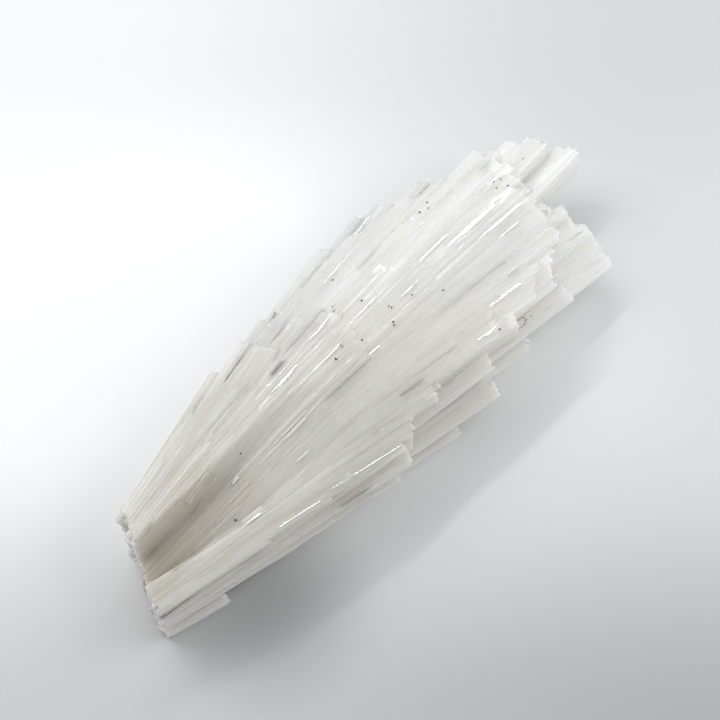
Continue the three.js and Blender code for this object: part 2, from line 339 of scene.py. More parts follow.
class ScoleciteSpray(bpy.types.PropertyGroup):
    needle_width: bpy.props.FloatProperty(
        name="Needle Width", description="Mean width of the needles along the crystals' faces",
        default=0.85 * MM, min=0.2 * MM, unit="LENGTH",
    )
    needle_relief: bpy.props.FloatProperty(
        name="Needle Relief", description="How far the needles stand out of the crystals' faces at most",
        default=0.07 * MM, unit="LENGTH",
    )
    flake_length: bpy.props.FloatProperty(
        name="Flake Length", description="Mean length of the thin flakes that lie on the crystals",
        default=13 * MM, unit="LENGTH",
    )
    flake_relief: bpy.props.FloatProperty(
        name="Flake Relief", description="How far a flake's free end stands out at most", default=0.26 * MM,
        unit="LENGTH",
    )
    skin_needles: bpy.props.IntProperty(
        name="Skin Needles", description="Number of long needles on the skin between the blades", default=170,
    )
    seed: bpy.props.IntProperty(
        name="Seed", description="Gives the needles and flakes their places", default=41,
    )


class ScoleciteFinish(bpy.types.PropertyGroup):
    milky: bpy.props.FloatVectorProperty(
        name="Milky Crystal", description="Colour of the milky crystals", subtype="COLOR", size=3,
        default=(0.91, 0.905, 0.87),
    )
    stain: bpy.props.FloatVectorProperty(
        name="Root Stain", description="Colour of the stain in the furrow at the root", subtype="COLOR",
        size=3, default=(0.52, 0.47, 0.385),
    )
    ior: bpy.props.FloatProperty(
        name="Refraction", description="Scolecite's refractive index", default=1.515,
    )


class ScoleciteStage(bpy.types.PropertyGroup):
    floor: bpy.props.FloatVectorProperty(
        name="Floor", description="Colour of the pale floor", subtype="COLOR", size=3,
        default=(0.95, 0.955, 0.96),
    )
    key_power: bpy.props.FloatProperty(
        name="Softbox Power", description="Power of the large softbox at the fan's left flank", default=1.05,
        unit="POWER",
    )
    room_light: bpy.props.FloatProperty(
        name="Room Light", description="Strength of the even light of the room", default=0.565,
    )


def stream(seed):
    """Repeatable random numbers from 0 to 1, the same stream that the part's solids are made with."""
    state = [seed & MASK]

    def draw():
        state[0] = (state[0] + 0x6D2B79F5) & MASK
        mixed = state[0]
        mixed = ((mixed ^ (mixed >> 15)) * (1 | mixed)) & MASK
        mixed = ((mixed + (((mixed ^ (mixed >> 7)) * (61 | mixed)) & MASK)) & MASK) ^ mixed
        return (mixed ^ (mixed >> 14)) / 2**32

    return draw


def directions(bearing, lift):
    """A crystal's own directions: along its axis, to its left, and out of its top."""
    turn, rise = math.radians(bearing), math.radians(lift)
    ahead = math.cos(rise)
    along = Vector((math.cos(turn) * ahead, math.sin(turn) * ahead, math.sin(rise)))
    left = Vector((-math.sin(turn), math.cos(turn), 0.0))
    return along, left, along.cross(left)


def arch(x, y):
    """The height of the spray's upper side at a place."""
    past = next((i for i, (place, _) in enumerate(RIDGE) if place > x), len(RIDGE) - 1)
    end = max(past, 1)
    (from_x, from_z), (to_x, to_z) = RIDGE[end - 1], RIDGE[end]
    ridge = from_z + (to_z - from_z) * (x - from_x) / (to_x - from_x)
    return ridge - ARCH_FALL * (y - RIDGE_Y) ** 2


def between(table, x):
    """The row of a table at x, from the rows before and after it."""
    past = next((i for i, row in enumerate(table) if row[0] > x), len(table) - 1)
    end = max(past, 1)
    low, high = table[end - 1], table[end]
    share = max(0.0, min(1.0, (x - low[0]) / (high[0] - low[0])))
    return [a + (b - a) * share for a, b in zip(low, high)]


def upper_side(x, y):
    """The height of the skin between the blades: the arch, less the furrow at the root."""
    _, middle, half, depth = between(FURROW, x)
    bowl = max(0.0, 1.0 - ((y - middle) / half) ** 2)
    return arch(x, y) - depth * min(1.0, 1.6 * bowl)


def on_upper_side(x, y):
    """Whether a place lies within the smooth upper side."""
    _, right, left = between(UPPER_SIDE, x)
    return UPPER_SIDE[0][0] - 6 < x < UPPER_SIDE[-1][0] and right <= y <= left


class Crystal:
    """One square-sided crystal: its directions, size and turned section, and how its end is broken."""

    def __init__(self, tip, axes, length, width, depth, turn, slant, undercut, ridge):
        self.along, left, up = axes
        self.left = left * math.cos(turn) + up * math.sin(turn)
        self.up = up * math.cos(turn) - left * math.sin(turn)
        self.middle = tip - up * (depth / 2)
        self.length, self.width, self.depth = length, width, depth
        self.narrow = (tip.x - length - APEX_X) / (tip.x - APEX_X)
        self.slant, self.undercut, self.ridge = slant, undercut, ridge

    def half_width(self, back):
        share = back / self.length
        return self.width / 2 * (1 + (self.narrow - 1) * share)

    def half_depth(self, back):
        share = back / self.length
        return self.depth / 2 * (1 + (ROOT_DEPTH - 1) * share)

    def point(self, back, across, above):
        """A point, by millimetres back from the tip, and across and above the axis."""
        return self.middle - self.along * back + self.left * across + self.up * above

    def end_back(self, side, face):
        """How far back the crystal's end is, at -1 to 1 across and above."""
        return (self.ridge + self.slant * (side + 1) / 2 + self.undercut * (1 - face) / 2) * END_SHARE


def sinking_lift(x, y, step, bearing, lift):
    """The least lift, from the one given, at which a blade sinks into the upper side behind its tip."""
    if not on_upper_side(x - 6, y):
        return lift
    for extra in range(24):
        along, _, _ = directions(bearing, lift + extra / 2)
        clear = True
        for back in range(4, 60, 4):
            place_x, place_y = x - along.x * back, y - along.y * back
            over = arch(x, y) + step - along.z * back - upper_side(place_x, place_y)
            if place_x > ROOT_X + 3 and on_upper_side(place_x, place_y) and over > max(step, 0) + 0.1:
                clear = False
        if clear:
            break
    return lift + extra / 2


def buried_length(x, y, top, width, along, left):
    """The length back to the broken root, or to where the blade would come out of the furrow again."""
    to_root = (x - ROOT_X - ROOT_SLANT * y) / (along.x - ROOT_SLANT * along.y)
    back = min(6.0, to_root)
    while back < to_root:
        for side in (-0.45, 0.0, 0.45):
            place_x = x - along.x * back + left.x * side * width
            place_y = y - along.y * back + left.y * side * width
            skin = upper_side(place_x, place_y)
            if arch(place_x, place_y) - skin > 0.3 and top - along.z * back > skin - 0.25:
                return back
        back += 1.0
    return to_root


def blade_crystals(row, index):
    """A blade's crystals, side by side, each a little shorter, lower and turned by its own amount."""
    x, y, step, width, depth, bearing, lift, count, skew = row
    draw = stream(97 + 13 * index)
    lift = sinking_lift(x, y, step, bearing, lift)
    along, left, up = directions(bearing, lift)
    lean = math.radians(max(-MOST_LEAN, min(MOST_LEAN, LEAN * (y - RIDGE_Y))))
    reach = buried_length(x, y, arch(x, y) + step, width, along, left)
    shares = [0.0] + [(i + (draw() - 0.5) / 2) / count for i in range(1, count)] + [1.0]
    crystals = []
    for i in range(count):
        middle = (shares[i + 1] + shares[i]) / 2 - 0.5
        own = (shares[i + 1] - shares[i]) * width
        shorter = 0 if i == count // 2 else SHORTER * draw()
        tip = Vector((x, y, arch(x, y) + step * (0.55 if step > 0 else 1.0)))
        tip -= left * (middle * width * math.cos(lean))
        tip += along * (middle * skew - shorter)
        tip += up * (middle * width * math.sin(lean) - LOWER * draw())
        axes = directions(bearing - SPREAD * middle, lift + LIFT_SPREAD * (2 * draw() - 1))
        crystals.append(
            Crystal(
                tip=tip,
                axes=axes,
                length=reach - shorter + ROOT_STAGGER * (draw() - 0.5),
                width=own * (1 + INGROWN),
                depth=depth * (0.9 + 0.2 * draw()),
                turn=TURN * (2 * draw() - 1) - lean,
                slant=SLANT * own * (2 * draw() - 1),
                undercut=UNDERCUT * depth * (draw() - 0.35),
                ridge=RIDGE_LENGTH * own if draw() < RIDGE_SHARE else 0.0,
            )
        )
    return crystals


def ring(crystal, back, across, above, section):
    """One closed section, its points given around its middle in millimetres across and above."""
    return [crystal.point(back, across + a, above + b) for a, b in section]


def bar(rings):
    """A closed bar through its rings, from the root end to the free end, as points and faces."""
    count = len(rings[0])
    points = [p for one in rings for p in one]
    faces = [tuple(reversed(range(count)))]
    for level in range(len(rings) - 1):
        base = level * count
        for k in range(count):
            after = (k + 1) % count
            faces.append((base + k, base + after, base + count + after, base + count + k))
    faces.append(tuple(range(len(points) - count, len(points))))
    return points, faces


def chamfered(half_width, half_depth, chamfer):
    """A rectangle with cut corners, in order from +across to +above."""
    c = min(chamfer, 0.45 * min(half_width, half_depth))
    w, h = half_width, half_depth
    return [(w, -h + c), (w, h - c), (w - c, h), (-w + c, h), (-w, h - c), (-w, -h + c), (-w + c, -h), (w - c, -h)]


def irregular(half_width, half_depth, rng):
    """A needle's section: an uneven polygon of five or six sides."""
    count = rng.choice((5, 6))
    first = rng.uniform(0, math.tau)
    section = []
    for k in range(count):
        angle = first + math.tau * (k + rng.uniform(-0.18, 0.18)) / count
        section.append((half_width * math.cos(angle), half_depth * math.sin(angle)))
    return section


def core_bar(crystal):
    """The crystal itself, with cut edges and a bevelled end."""
    back = crystal.length
    rings = []
    chamfer = 0.09 * min(crystal.width, crystal.depth)
    root = chamfered(crystal.half_width(back), crystal.half_depth(back), chamfer)
    rings.append(ring(crystal, back, 0, 0, root))
    for shrink, forward in ((1.0, 0.35), (0.82, 0.0)):
        w, h = crystal.width / 2, crystal.depth / 2
        section = chamfered(w * shrink, h * shrink, chamfer)
        points = []
        for a, b in section:
            end = crystal.end_back(a / w, b / h) + forward * min(crystal.width, 1.6)
            points.append(crystal.point(end, a, b))
        rings.append(points)
    return bar(rings)


def face_place(crystal, face, back, share, out):
    """Across and above for a place on a face, by its share from edge to edge and how far out it stands."""
    w, h = crystal.half_width(back), crystal.half_depth(back)
    if face == "top":
        return share * w, h + out
    side = 1 if face == "left" else -1
    return side * (w + out), share * h


def strip(crystal, face, start, end, share, width, thick, out_start, out_end, rng):
    """A needle or flake on a face of a crystal, from its start nearer the root to its free end."""
    lying = face == "top"
    half_across, half_above = (width / 2, thick / 2) if lying else (thick / 2, width / 2)
    section = irregular(half_across, half_above, rng)
    narrow = crystal.half_width(start) / crystal.half_width(end)
    turn = rng.gauss(0, 0.10)
    turned = [
        (a * math.cos(turn) - b * math.sin(turn), b * math.cos(turn) + a * math.sin(turn))
        for a, b in section
    ]
    rings = []
    bevel = rng.uniform(0.2, 1.0) * min(width, 1.2)
    slant = rng.uniform(-0.9, 0.9)
    stations = ((start, narrow, out_start), (end + bevel, 1.0, out_end), (end, rng.uniform(0.35, 0.9), out_end))
    for number, (back, scale, out) in enumerate(stations):
        across, above = face_place(crystal, face, min(back, crystal.length), share, out)
        points = []
        for a, b in turned:
            tilt = slant * (a if lying else b) if number else 0.0
            points.append(crystal.point(back + tilt, across + a * scale, above + b * scale))
        rings.append(points)
    return bar(rings)


def needles_on(crystal, size, rng):
    """Needles side by side along the top and both sides of a crystal."""
    mean = size.needle_width / MM
    relief = size.needle_relief / MM
    bars = []
    for face in ("top", "left", "right"):
        breadth = crystal.width if face == "top" else crystal.depth
        count = max(2, round(breadth / mean))
        for i in range(count):
            if rng.random() < NEEDLE_GAPS:
                continue
            share = (2 * (i + rng.uniform(0.2, 0.8)) / count - 1) * 0.96
            width = mean * rng.uniform(0.7, 1.9)
            thick = rng.uniform(0.5, 0.9)
            out = rng.uniform(-0.2, 1.0) ** 3 * relief - thick / 2 + 0.02
            reach = crystal.end_back(share, 1)
            shy = rng.random()
            end = reach + (rng.uniform(-0.15, 0.3) if shy < 0.7 else rng.uniform(0.5, 16))
            start = crystal.length - rng.uniform(0, 1.0)
            if start - end < SHORTEST:
                continue
            bars.append(strip(crystal, face, start, end, share, width, thick, out - NEEDLE_SINK, out, rng))
    return bars


def flakes_on(crystal, size, rng):
    """Thin flakes that rise out of the top and sides, and end in the open."""
    mean = size.flake_length / MM
    relief = size.flake_relief / MM
    bars = []
    for face, density in FLAKE_DENSITY:
        breadth = crystal.width if face == "top" else crystal.depth
        for _ in range(round(density * breadth * crystal.length + rng.random())):
            length = mean * rng.uniform(0.4, 1.8)
            end = rng.uniform(0.5, max(1.0, crystal.length - length - 2))
            start = min(end + length, crystal.length - 0.5)
            if start - end < SHORTEST:
                continue
            share = rng.uniform(-0.85, 0.85)
            width = rng.uniform(0.5, 1.7)
            thick = rng.uniform(0.25, 0.6)
            out_end = relief * rng.uniform(0.15, 1.0) - thick / 2
            out_start = -thick / 2 - 0.15
            bars.append(strip(crystal, face, start, end, share, width, thick, out_start, out_end, rng))
    return bars


def stub(crystal, *stations):
    """A short bar through its stations, each with its distance back, across and above, and its section."""
    return bar([ring(crystal, *station) for station in stations])


def broken_end(crystal, rng):
    """The crystal's end as a bundle of small needle ends, some longer and some shorter."""
    bars = []
    columns = max(2, round(crystal.width / TIP_NEEDLE[0]))
    rows = max(3, round(crystal.depth / TIP_NEEDLE[1]))
    for i in range(columns):
        for j in range(rows):
            a = (i + rng.uniform(0.3, 0.7)) / columns * 2 - 1
            b = (j + rng.uniform(0.3, 0.7)) / rows * 2 - 1
            width = crystal.width / columns * rng.uniform(0.9, 1.35)
            depth = crystal.depth / rows * rng.uniform(0.9, 1.35)
            end = crystal.end_back(a, b) + rng.uniform(-0.25, 0.3)
            start = min(end + 5, crystal.length - 0.3)
            section = irregular(width / 2, depth / 2, rng)
            across = a * (crystal.width / 2 - width / 3)
            above = b * (crystal.depth / 2 - depth / 3)
            tip = [(p * 0.7, q * 0.7) for p, q in section]
            neck = (end + rng.uniform(0.1, 0.5), across, above, section)
            point = (end, across + rng.uniform(-0.1, 0.1), above, tip)
            bars.append(stub(crystal, (start, across, above, section), neck, point))
    return bars


def root_end(crystal, rng):
    """The crystal's broken root, as a bundle of stubs of uneven length."""
    bars = []
    columns = max(1, round(crystal.width * crystal.narrow / ROOT_STUB[0]))
    rows = max(2, round(crystal.depth * ROOT_DEPTH / ROOT_STUB[1]))
    half_w, half_h = crystal.half_width(crystal.length), crystal.half_depth(crystal.length)
    for i in range(columns):
        for j in range(rows):
            across = ((i + 0.5) / columns * 2 - 1) * half_w * 0.8
            above = ((j + 0.5) / rows * 2 - 1) * half_h * 0.85
            w, h = half_w / columns * rng.uniform(0.9, 1.3), half_h / rows * rng.uniform(0.9, 1.3)
            back = crystal.length + rng.uniform(-0.08, 0.12)
            section = irregular(w, h, rng)
            small = [(p * 0.75, q * 0.75) for p, q in section]
            neck = (back - 0.3, across, above, section)
            inside = (crystal.length - 4, across, above, section)
            bars.append(stub(crystal, (back, across, above, small), neck, inside))
    return bars


def hull_bar(corners):
    """A closed convex block around a few corners."""
    shape = bmesh.new()
    for corner in corners:
        shape.verts.new(corner)
    bmesh.ops.convex_hull(shape, input=shape.verts)
    shape.verts.ensure_lookup_table()
    points = [v.co.copy() for v in shape.verts]
    faces = [tuple(v.index for v in f.verts) for f in shape.faces]
    shape.free()
    return points, faces


def mesh_object(name, points, faces):
    """An object whose mesh is in metres, in the part's frame, from points in the fan's frame."""
    mesh = bpy.data.meshes.new(name)
    mesh.from_pydata([(Vector(p) - MIDDLE) * MM for p in points], [], faces)
    mesh.update()
    return bpy.data.objects.new(name, mesh)


def combine(whole, operation, solids):
    """Joins a solid with others, cuts them out of it, or keeps what it shares with them. They are used up."""
    scene = bpy.context.scene.collection
    store = bpy.data.collections.new("operands")
    scene.children.link(store)
    for one in solids:
        store.objects.link(one)
    scene.objects.link(whole)
    modifier = whole.modifiers.new(operation.lower(), "BOOLEAN")
    modifier.operation = operation
    modifier.solver = "MANIFOLD"
    modifier.operand_type = "COLLECTION"
    modifier.collection = store
    graph = bpy.context.evaluated_depsgraph_get()
    made = bpy.data.meshes.new_from_object(whole.evaluated_get(graph))
    spent = [whole.data] + [one.data for one in solids]
    whole.modifiers.clear()
    whole.data = made
    scene.objects.unlink(whole)
    bpy.data.batch_remove([*solids, *spent, store])


def join_solids(solids):
    """Joins solids that overlap, a few at a time, which is faster than one after the other."""
    while len(solids) > 1:
        groups = [solids[i : i + JOINED_AT_ONCE] for i in range(0, len(solids), JOINED_AT_ONCE)]
        for whole, *others in groups:
            if others:
                combine(whole, "UNION", others)
        solids = [group[0] for group in groups]
    return solids[0]


def bundle(name, bars):
    """The solid of one crystal with all its bars."""
    return join_solids([mesh_object(f"{name}_{i}", *one) for i, one in enumerate(bars)])


def keep_outer_skin(piece):
    """Leaves out the skins of gaps that are sealed in, and crumbs that touch nothing."""
    shape = bmesh.new()
    shape.from_mesh(piece.data)
    shape.verts.ensure_lookup_table()
    group = [-1] * len(shape.verts)
    sizes = []
    for first in shape.verts:
        if group[first.index] >= 0:
            continue
        number = len(sizes)
        group[first.index] = number
        queue = [first]
        count = 0
        while queue:
            vert = queue.pop()
            count += 1
            for edge in vert.link_edges:
                other = edge.other_vert(vert)
                if group[other.index] < 0:
                    group[other.index] = number
                    queue.append(other)
        sizes.append(count)
    largest = sizes.index(max(sizes))
    loose = [v for v in shape.verts if group[v.index] != largest]
    bmesh.ops.delete(shape, geom=loose, context="VERTS")
    shape.to_mesh(piece.data)
    shape.free()


def space_above_floor():
    """A large block that stands on the floor, for trimming what would reach below it."""
    reach = 200.0
    corners = [(x, y, z) for x in (-reach, reach) for y in (-reach, reach) for z in (0.0, reach)]
    return mesh_object("space_above_floor", *hull_bar(corners))


def heart_bar():
    """The grown-together heart, around the corners of its sections."""
    corners = []
    for left_y, left_x, right_y, right_x, low, high in HEART:
        corners += [(left_x, left_y, low), (left_x, left_y, high)]
        corners += [(right_x, right_y, low), (right_x, right_y, high)]
    return hull_bar(corners)


def feed(socket, value):
    """Links an input to another node's output, or gives it a value."""
    if isinstance(value, bpy.types.NodeSocket):
        socket.id_data.links.new(value, socket)
    else:
        socket.default_value = value


def number_node(nodes, operation, first, second=None, third=None, clamp=False):
    """A Math node with its inputs as numbers or sockets. Returns its output."""
    node = nodes.new("ShaderNodeMath")
    node.operation = operation
    node.use_clamp = clamp
    for socket, value in zip(node.inputs, (first, second, third)):
        if value is not None:
            feed(socket, value)
    return node.outputs[0]


def vector_node(nodes, operation, first, second=None, output="Vector"):
    """A Vector Math node with its inputs as vectors or sockets. Returns one of its outputs."""
    node = nodes.new("ShaderNodeVectorMath")
    node.operation = operation
    feed(node.inputs[0], first)
    if second is not None:
        feed(node.inputs[1], second)
    return node.outputs[output]


def colour_mix(nodes, factor, first, second):
    """A colour Mix node. Returns its output."""
    node = nodes.new("ShaderNodeMix")
    node.data_type = "RGBA"
    feed(node.inputs["Factor"], factor)
    for index, colour in ((MIX_FIRST, first), (MIX_SECOND, second)):
        feed(node.inputs[index], colour if isinstance(colour, bpy.types.NodeSocket) else (*colour, 1.0))
    return node.outputs[MIX_RESULT]


def soft_step(nodes, value, low, high):
    """0 below low and 1 above high, with a smooth rise between."""
    node = nodes.new("ShaderNodeMapRange")
    node.interpolation_type = "SMOOTHSTEP"
    feed(node.inputs["Value"], value)
    feed(node.inputs["From Min"], low)
    feed(node.inputs["From Max"], high)
    return node.outputs["Result"]


def object_place(nodes):
    """The place on the piece, in the part's frame."""
    return nodes.new("ShaderNodeTexCoord").outputs["Object"]


def new_group(name, inputs, outputs):
    """A node group with named numbers going in and out. Returns it with its nodes for both."""
    tree = bpy.data.node_groups.new(name, "ShaderNodeTree")
    for label, default in inputs:
        socket = tree.interface.new_socket(label, in_out="INPUT", socket_type="NodeSocketFloat")
        socket.default_value = default
    for label in outputs:
        tree.interface.new_socket(label, in_out="OUTPUT", socket_type="NodeSocketFloat")
    return tree, tree.nodes.new("NodeGroupInput"), tree.nodes.new("NodeGroupOutput")


def fibre_group():
    """Streaks that run along the crystals, fanning out from where their lines meet."""
    tree, given, out = new_group(
        "crystal_fibres", (("Fineness", 1.0), ("Contrast", 1.0)), ("Broad", "Fine", "Relief", "Lines")
    )
    nodes = tree.nodes
    maths = partial(number_node, nodes)
    apex = (Vector((APEX_X, APEX_Y, APEX_Z)) - MIDDLE) * MM
    away = vector_node(nodes, "SUBTRACT", object_place(nodes), apex)
    flattened = vector_node(nodes, "MULTIPLY", vector_node(nodes, "NORMALIZE", away), (1.0, 1.0, 0.35))
    reach = vector_node(nodes, "LENGTH", away, output="Value")

    def streaks(frequency, along, detail):
        """Noise that changes fast from fibre to fibre and slowly along them."""
        noise = nodes.new("ShaderNodeTexNoise")
        noise.noise_dimensions = "4D"
        scaled = maths("MULTIPLY", given.outputs["Fineness"], frequency)
        slow = maths("MULTIPLY", reach, along)
        feed(noise.inputs["Vector"], flattened)
        feed(noise.inputs["Scale"], scaled)
        feed(noise.inputs["W"], maths("DIVIDE", slow, scaled))
        feed(noise.inputs["Detail"], detail)
        return noise.outputs["Fac"]

    def spread(value, low, high):
        """Spreads a noise over 0 to 1 by the contrast asked for."""
        centred = maths("SUBTRACT", soft_step(nodes, value, low, high), 0.5)
        scaled = maths("MULTIPLY", centred, given.outputs["Contrast"])
        return maths("ADD", scaled, 0.5, clamp=True)

    broad = streaks(30.0, 14.0, 2.0)
    fine = streaks(120.0, 45.0, 2.0)
    hair = streaks(230.0, 110.0, 1.0)
    feed(out.inputs["Broad"], spread(broad, 0.34, 0.66))
    feed(out.inputs["Fine"], spread(fine, 0.32, 0.68))
    # Thin lines where one fibre ends against the next.
    lines = None
    for value, width in ((broad, 0.008), (fine, 0.03)):
        offset = maths("ABSOLUTE", maths("SUBTRACT", value, 0.5))
        line = maths("SUBTRACT", 1.0, soft_step(nodes, offset, 0.0, width))
        lines = line if lines is None else maths("MAXIMUM", lines, line)
    feed(out.inputs["Lines"], lines)
    mixed = maths("MULTIPLY_ADD", hair, 0.3, fine)
    feed(out.inputs["Relief"], maths("MULTIPLY_ADD", lines, -0.35, mixed))
    return tree


def stain_and_shade_group():
    """Where the root is stained, with a beige furrow between the two root lobes and tan patches beside it, and
    where the milky colour darkens: towards the root as a stain, and towards the right flank as painted shade on
    the side that faces away from the light.
    """
    tree, given, out = new_group(
        "root_stain_and_shade", (("Start", -24.0 * MM), ("Spread", 5.5 * MM)), ("Furrow", "Patches", "Root")
    )
    nodes = tree.nodes
    maths = partial(number_node, nodes)
    place = object_place(nodes)
    parts = nodes.new("ShaderNodeSeparateXYZ")
    feed(parts.inputs[0], place)
    x, y = parts.outputs["X"], parts.outputs["Y"]

    def blotches(scale):
        """Soft noise in the part's frame."""
        noise = nodes.new("ShaderNodeTexNoise")
        feed(noise.inputs["Vector"], place)
        feed(noise.inputs["Scale"], scale)
        return noise.outputs["Fac"]

    def ramp(start, distance, length):
        """Rises from 0 to 1 within a length, where a distance falls below its start."""
        return maths("DIVIDE", maths("SUBTRACT", start, distance), length, clamp=True)

    wobble = maths("MULTIPLY_ADD", blotches(90.0), 9 * MM, -4.5 * MM)
    along = maths("ADD", x, wobble)
    # The furrow's middle line turns a little to the left on its way from the root.
    line = maths("MULTIPLY_ADD", x, 0.10, 2.6 * MM)
    aside = maths("ABSOLUTE", maths("SUBTRACT", y, line))
    aside = maths("ADD", aside, maths("MULTIPLY", wobble, 0.5))
    near = ramp(given.outputs["Start"], along, 24 * MM)
    inside = ramp(given.outputs["Spread"], aside, 4 * MM)
    feed(out.inputs["Furrow"], maths("MULTIPLY", near, inside))
    patches = soft_step(nodes, blotches(70.0), 0.50, 0.68)
    rootward = ramp(-6 * MM, x, 26 * MM)
    feed(out.inputs["Patches"], maths("MULTIPLY", patches, rootward))
    # Darker towards the root, a stain, and towards the right flank, painted shade on the side that faces away from
    # the light.
    rootward = maths("MULTIPLY_ADD", y, -0.9, maths("MULTIPLY", x, -0.8))
    feed(out.inputs["Root"], soft_step(nodes, rootward, -25 * MM, 20 * MM))
    return tree


def group_node(nodes, name, build):
    """A node with a shared group, which is built when it is first used."""
    node = nodes.new("ShaderNodeGroup")
    node.node_tree = bpy.data.node_groups.get(name) or build()
    return node


def new_material(name, values):
    """A material whose shader has these values. Returns it with its nodes and shader."""
    material = bpy.data.materials.new(name)
    material.use_nodes = True
    nodes = material.node_tree.nodes
    shader = nodes["Principled BSDF"]
    for label, value in values.items():
        shader.inputs[label].default_value = value
    return material, nodes, shader


def milky_material(finish):
    """Milky scolecite: light scatters inside it, and a share of it passes through."""
    values = {
        "IOR": finish.ior,
        "Subsurface Weight": 1.0,
        "Subsurface Radius": (1.0, 0.96, 0.9),
        "Subsurface Scale": 5.0 * MM,
        "Transmission Weight": 0.10,
    }
    material, nodes, shader = new_material("milky_scolecite", values)
    maths = partial(number_node, nodes)
    fibres = group_node(nodes, "crystal_fibres", fibre_group).outputs
    # The root's stains, and the painted shade on the right flank that faces away from the light.
    stain = group_node(nodes, "root_stain_and_shade", stain_and_shade_group).outputs
    milky = tuple(finish.milky)
    pale = tuple(min(0.985, c * 1.05) for c in milky)
    grey = tuple(c * 0.90 for c in milky)
    root_stain_and_shade_colour = tuple(c * k for c, k in zip(milky, ROOT_STAIN_AND_SHADE_SHARES))
    base = colour_mix(nodes, fibres["Broad"], grey, pale)
    for source, strength, colour in (
        (fibres["Fine"], 0.35, milky),
        # Dimmed towards the root as a stain, and towards the right flank as painted shade.
        (stain["Root"], 0.9, root_stain_and_shade_colour),
        (fibres["Lines"], 0.16, LINE_COLOUR),
        (stain["Patches"], 0.35, TAN),
        (stain["Furrow"], 0.85, tuple(finish.stain)),
    ):
        base = colour_mix(nodes, maths("MULTIPLY", source, strength), base, colour)
    feed(shader.inputs["Base Color"], base)
    rough = maths("MULTIPLY_ADD", fibres["Fine"], 0.22, 0.08)
    rough = maths("ADD", rough, maths("MULTIPLY", stain["Furrow"], 0.25))
    feed(shader.inputs["Roughness"], rough)
    bump = nodes.new("ShaderNodeBump")
    feed(bump.inputs["Strength"], 1.0)
    feed(bump.inputs["Distance"], 0.05 * MM)
    feed(bump.inputs["Height"], fibres["Relief"])
    feed(shader.inputs["Normal"], bump.outputs["Normal"])
    return material


def sliver_material(finish):
    """The mirror-smooth cleavage of a sliver of clear scolecite."""
    values = {"Base Color": SLIVER_COLOUR, "Roughness": 0.05, "IOR": finish.ior, "Transmission Weight": 0.4}
    return new_material("smooth_sliver", values)[0]


def grain_material():
    """A dull, almost black mineral."""
    return new_material("dark_grain", {"Base Color": GRAIN_COLOUR, "Roughness": 0.6})[0]


def floor_material(stage):
    """A pale floor with painted light and shade: brightest at the fan's left flank, dimmer towards its sides, with
    a painted shadow beside the right root lobe and two painted pools of light.
    """
    material, nodes, shader = new_material("pale_floor_painted_shade", {"Roughness": 0.7, "Specular IOR Level": 0.2})
    maths = partial(number_node, nodes)
    place = object_place(nodes)
    painted_light_and_shade = None
    # Painted shade: the floor's colour dims where the lamps' light falls off.
    for heading, near, far, share in FLOOR_PAINTED_SHADE:
        distance = vector_node(nodes, "DOT_PRODUCT", place, heading, output="Value")
        faded = soft_step(nodes, distance, near * MM, far * MM)
        kept = maths("MULTIPLY_ADD", faded, -share, 1.0)
        painted_light_and_shade = kept if painted_light_and_shade is None else maths("MULTIPLY", painted_light_and_shade, kept)
    # Painted shadow and pools of light: soft spots that darken or lighten the floor's colour.
    for spot, reach, gain in FLOOR_PAINTED_SPOTS:
        distance = vector_node(nodes, "DISTANCE", place, spot, output="Value")
        shade = soft_step(nodes, distance, 1 * MM, reach * MM)
        kept = maths("MULTIPLY_ADD", shade, 1.0 - gain, gain)
        painted_light_and_shade = maths("MULTIPLY", painted_light_and_shade, kept)
    feed(shader.inputs["Base Color"], colour_mix(nodes, painted_light_and_shade, (0.0, 0.0, 0.0), tuple(stage.floor)))
    return material


def crystal_bars(crystal, size, upper, rng):
    """A crystal's own bar, with its needles, flakes and broken ends."""
    bars = [core_bar(crystal)]
    bars += needles_on(crystal, size, rng)
    bars += broken_end(crystal, rng)
    bars += root_end(crystal, rng)
    if upper:
        bars += flakes_on(crystal, size, rng)
    return bars


def rib(bearing, start, end, width, depth, drop, rise, rng):
    """A rib along a bearing from the apex, whose flat top follows the upper side at a depth below it.

    It lies deeper by drop, and comes up by rise towards its free end. Its width is the one at the gauge's
    reach from the apex.
    """
    along, left, _ = directions(bearing, 0.0)
    crown = rng.uniform(0.02, 0.09)
    peak = rng.uniform(-0.35, 0.35)
    section = ((0.5, -1.0), (0.5, -crown), (peak + 0.12, 0.0), (peak - 0.12, 0.0), (-0.5, -crown), (-0.5, -1.0))
    roll = rng.gauss(0, 0.07)
    count = max(2, math.ceil((end - start) / RIB_STATION))
    cut = rng.uniform(-0.5, 0.5)
    rings = []
    for i in range(count + 1):
        share = i / count
        reach = start + (end - start) * share
        size = width * reach / GAUGE_REACH
        points = []
        for a, b in section:
            x = APEX_X + along.x * reach + left.x * a * size
            y = APEX_Y + along.y * reach + left.y * a * size
            if i == count:
                x += cut * a * size
            below = depth if b == -1.0 else -b * size
            z = upper_side(x, y) - drop + rise * share - below + math.tan(roll) * a * size
            points.append(Vector((x, y, z)))
        rings.append(points)
        roll += rng.gauss(0, 0.012)
        drop += rng.gauss(0, 0.02)
    return bar(rings)


def ray_reach(bearing, x):
    """How far from the apex a bearing crosses x."""
    return (x - APEX_X) / math.cos(math.radians(bearing))


def root_reach(bearing):
    """How far from the apex a bearing crosses the broken root."""
    slope = math.tan(math.radians(bearing))
    x = (ROOT_X + ROOT_SLANT * (APEX_Y - slope * APEX_X)) / (1 - ROOT_SLANT * slope)
    return ray_reach(bearing, x)


def outer_reach(bearing):
    """How far from the apex a bearing leaves the smooth upper side."""
    slope = math.tan(math.radians(bearing))
    x = UPPER_SIDE[-1][0] - 0.5
    while x > ROOT_X + 10 and not on_upper_side(x, APEX_Y + slope * (x - APEX_X)):
        x -= 0.5
    return ray_reach(bearing, x)


